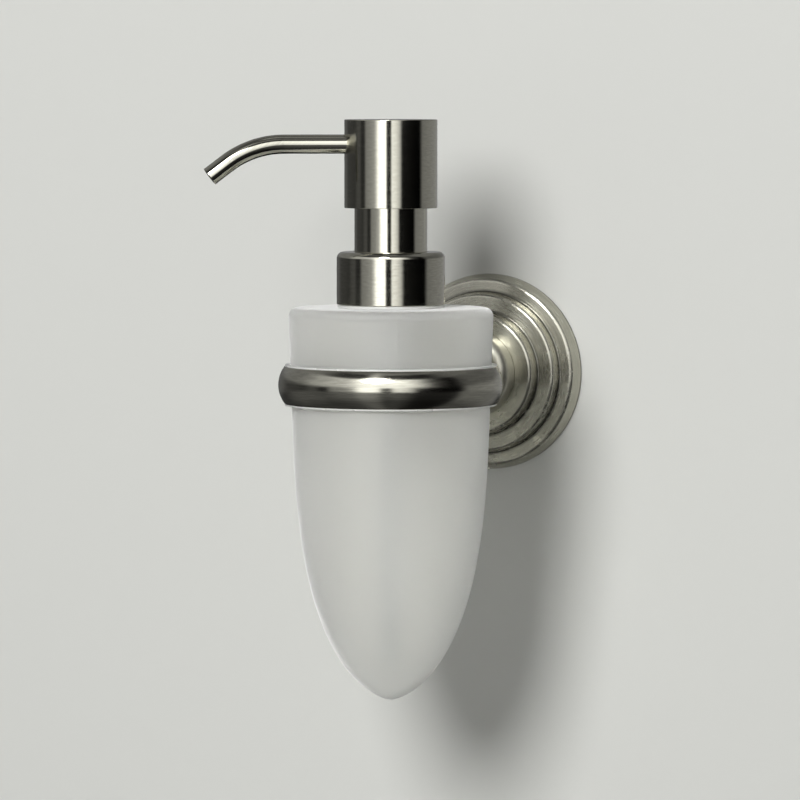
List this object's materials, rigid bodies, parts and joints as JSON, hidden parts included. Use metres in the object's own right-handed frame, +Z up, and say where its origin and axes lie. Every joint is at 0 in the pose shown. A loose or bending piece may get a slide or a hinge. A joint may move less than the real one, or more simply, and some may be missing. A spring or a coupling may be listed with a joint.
{
  "type": "wall mounted soap dispenser",
  "caption": "Wall mounted soap dispenser: stepped rosette, turned arm and ring, tapered frosted glass bottle, and a lift-out metal pump with a swivelling spout.",
  "frame": {"origin": "centre of the rosette's back face, on the wall and in line with the arm", "axes": "+Y into the wall, -Y out to the user, +X to the right as the user faces the wall, +Z up"},
  "size_m": [0.0882, 0.1219, 0.1852],
  "materials": {
    "brushed_nickel": "satin",
    "plate_steel": "zinc plated",
    "screw_steel": "plain",
    "frosted_glass": "frosted",
    "liner_plastic": "satin",
    "washer_plastic": "satin",
    "pump_plastic": "satin",
    "insert_plastic": "satin",
    "seal_rubber": "matt",
    "ball_steel": "polished",
    "spring_steel": "polished",
    "tube_plastic": "gloss"
  },
  "bodies": {
    "holder": {"wall_plate": "plate_steel", "rosette": "brushed_nickel", "rosette_set_screw": "screw_steel", "arm": "brushed_nickel", "arm_bolt": "screw_steel", "holder_ring": "brushed_nickel", "ring_liner": "liner_plastic"},
    "bottle": {"glass_bottle": "frosted_glass", "neck_washer": "washer_plastic"},
    "pump": {"pump_gasket": "seal_rubber", "pump_housing": "pump_plastic", "stem_guide": "pump_plastic", "neck_sleeve": "brushed_nickel", "dip_tube": "tube_plastic", "return_spring": "spring_steel"},
    "valve": {"check_ball": "ball_steel"},
    "collar": {"collar_shell": "brushed_nickel", "collar_insert": "insert_plastic"},
    "plunger": {"piston": "seal_rubber", "piston_stem": "pump_plastic"},
    "outlet_valve": {"outlet_ball": "ball_steel"},
    "head": {"head_shell": "brushed_nickel", "head_insert": "insert_plastic", "spout_tube": "brushed_nickel"}
  },
  "joints": [
    {"name": "bottle_lift", "type": "slide", "parent": "holder", "child": "bottle", "axis": [0, 0, 1], "range_m": [0, 0.115]},
    {"name": "pump_lift", "type": "slide", "parent": "bottle", "child": "pump", "axis": [0, 0, 1], "range_m": [0, 0.135]},
    {"name": "collar_turn", "type": "hinge", "parent": "pump", "child": "collar", "pos_m": [0, -0.086, 0.034], "axis": [0, 0, 1], "continuous": true},
    {"name": "pump_press", "type": "slide", "parent": "pump", "child": "plunger", "axis": [0, 0, -1], "range_m": [0, 0.012], "stiffness_N_per_m": 400, "springref_m": -0.012, "deforming": ["return_spring"]},
    {"name": "head_swivel", "type": "hinge", "parent": "plunger", "child": "head", "pos_m": [0, -0.086, 0.07], "axis": [0, 0, 1], "continuous": true},
    {"name": "valve_lift", "type": "slide", "parent": "pump", "child": "valve", "axis": [0, 0, 1], "range_m": [0, 0.0012]},
    {"name": "outlet_lift", "type": "slide", "parent": "plunger", "child": "outlet_valve", "axis": [0, 0, 1], "range_m": [0, 0.001]}
  ]
}
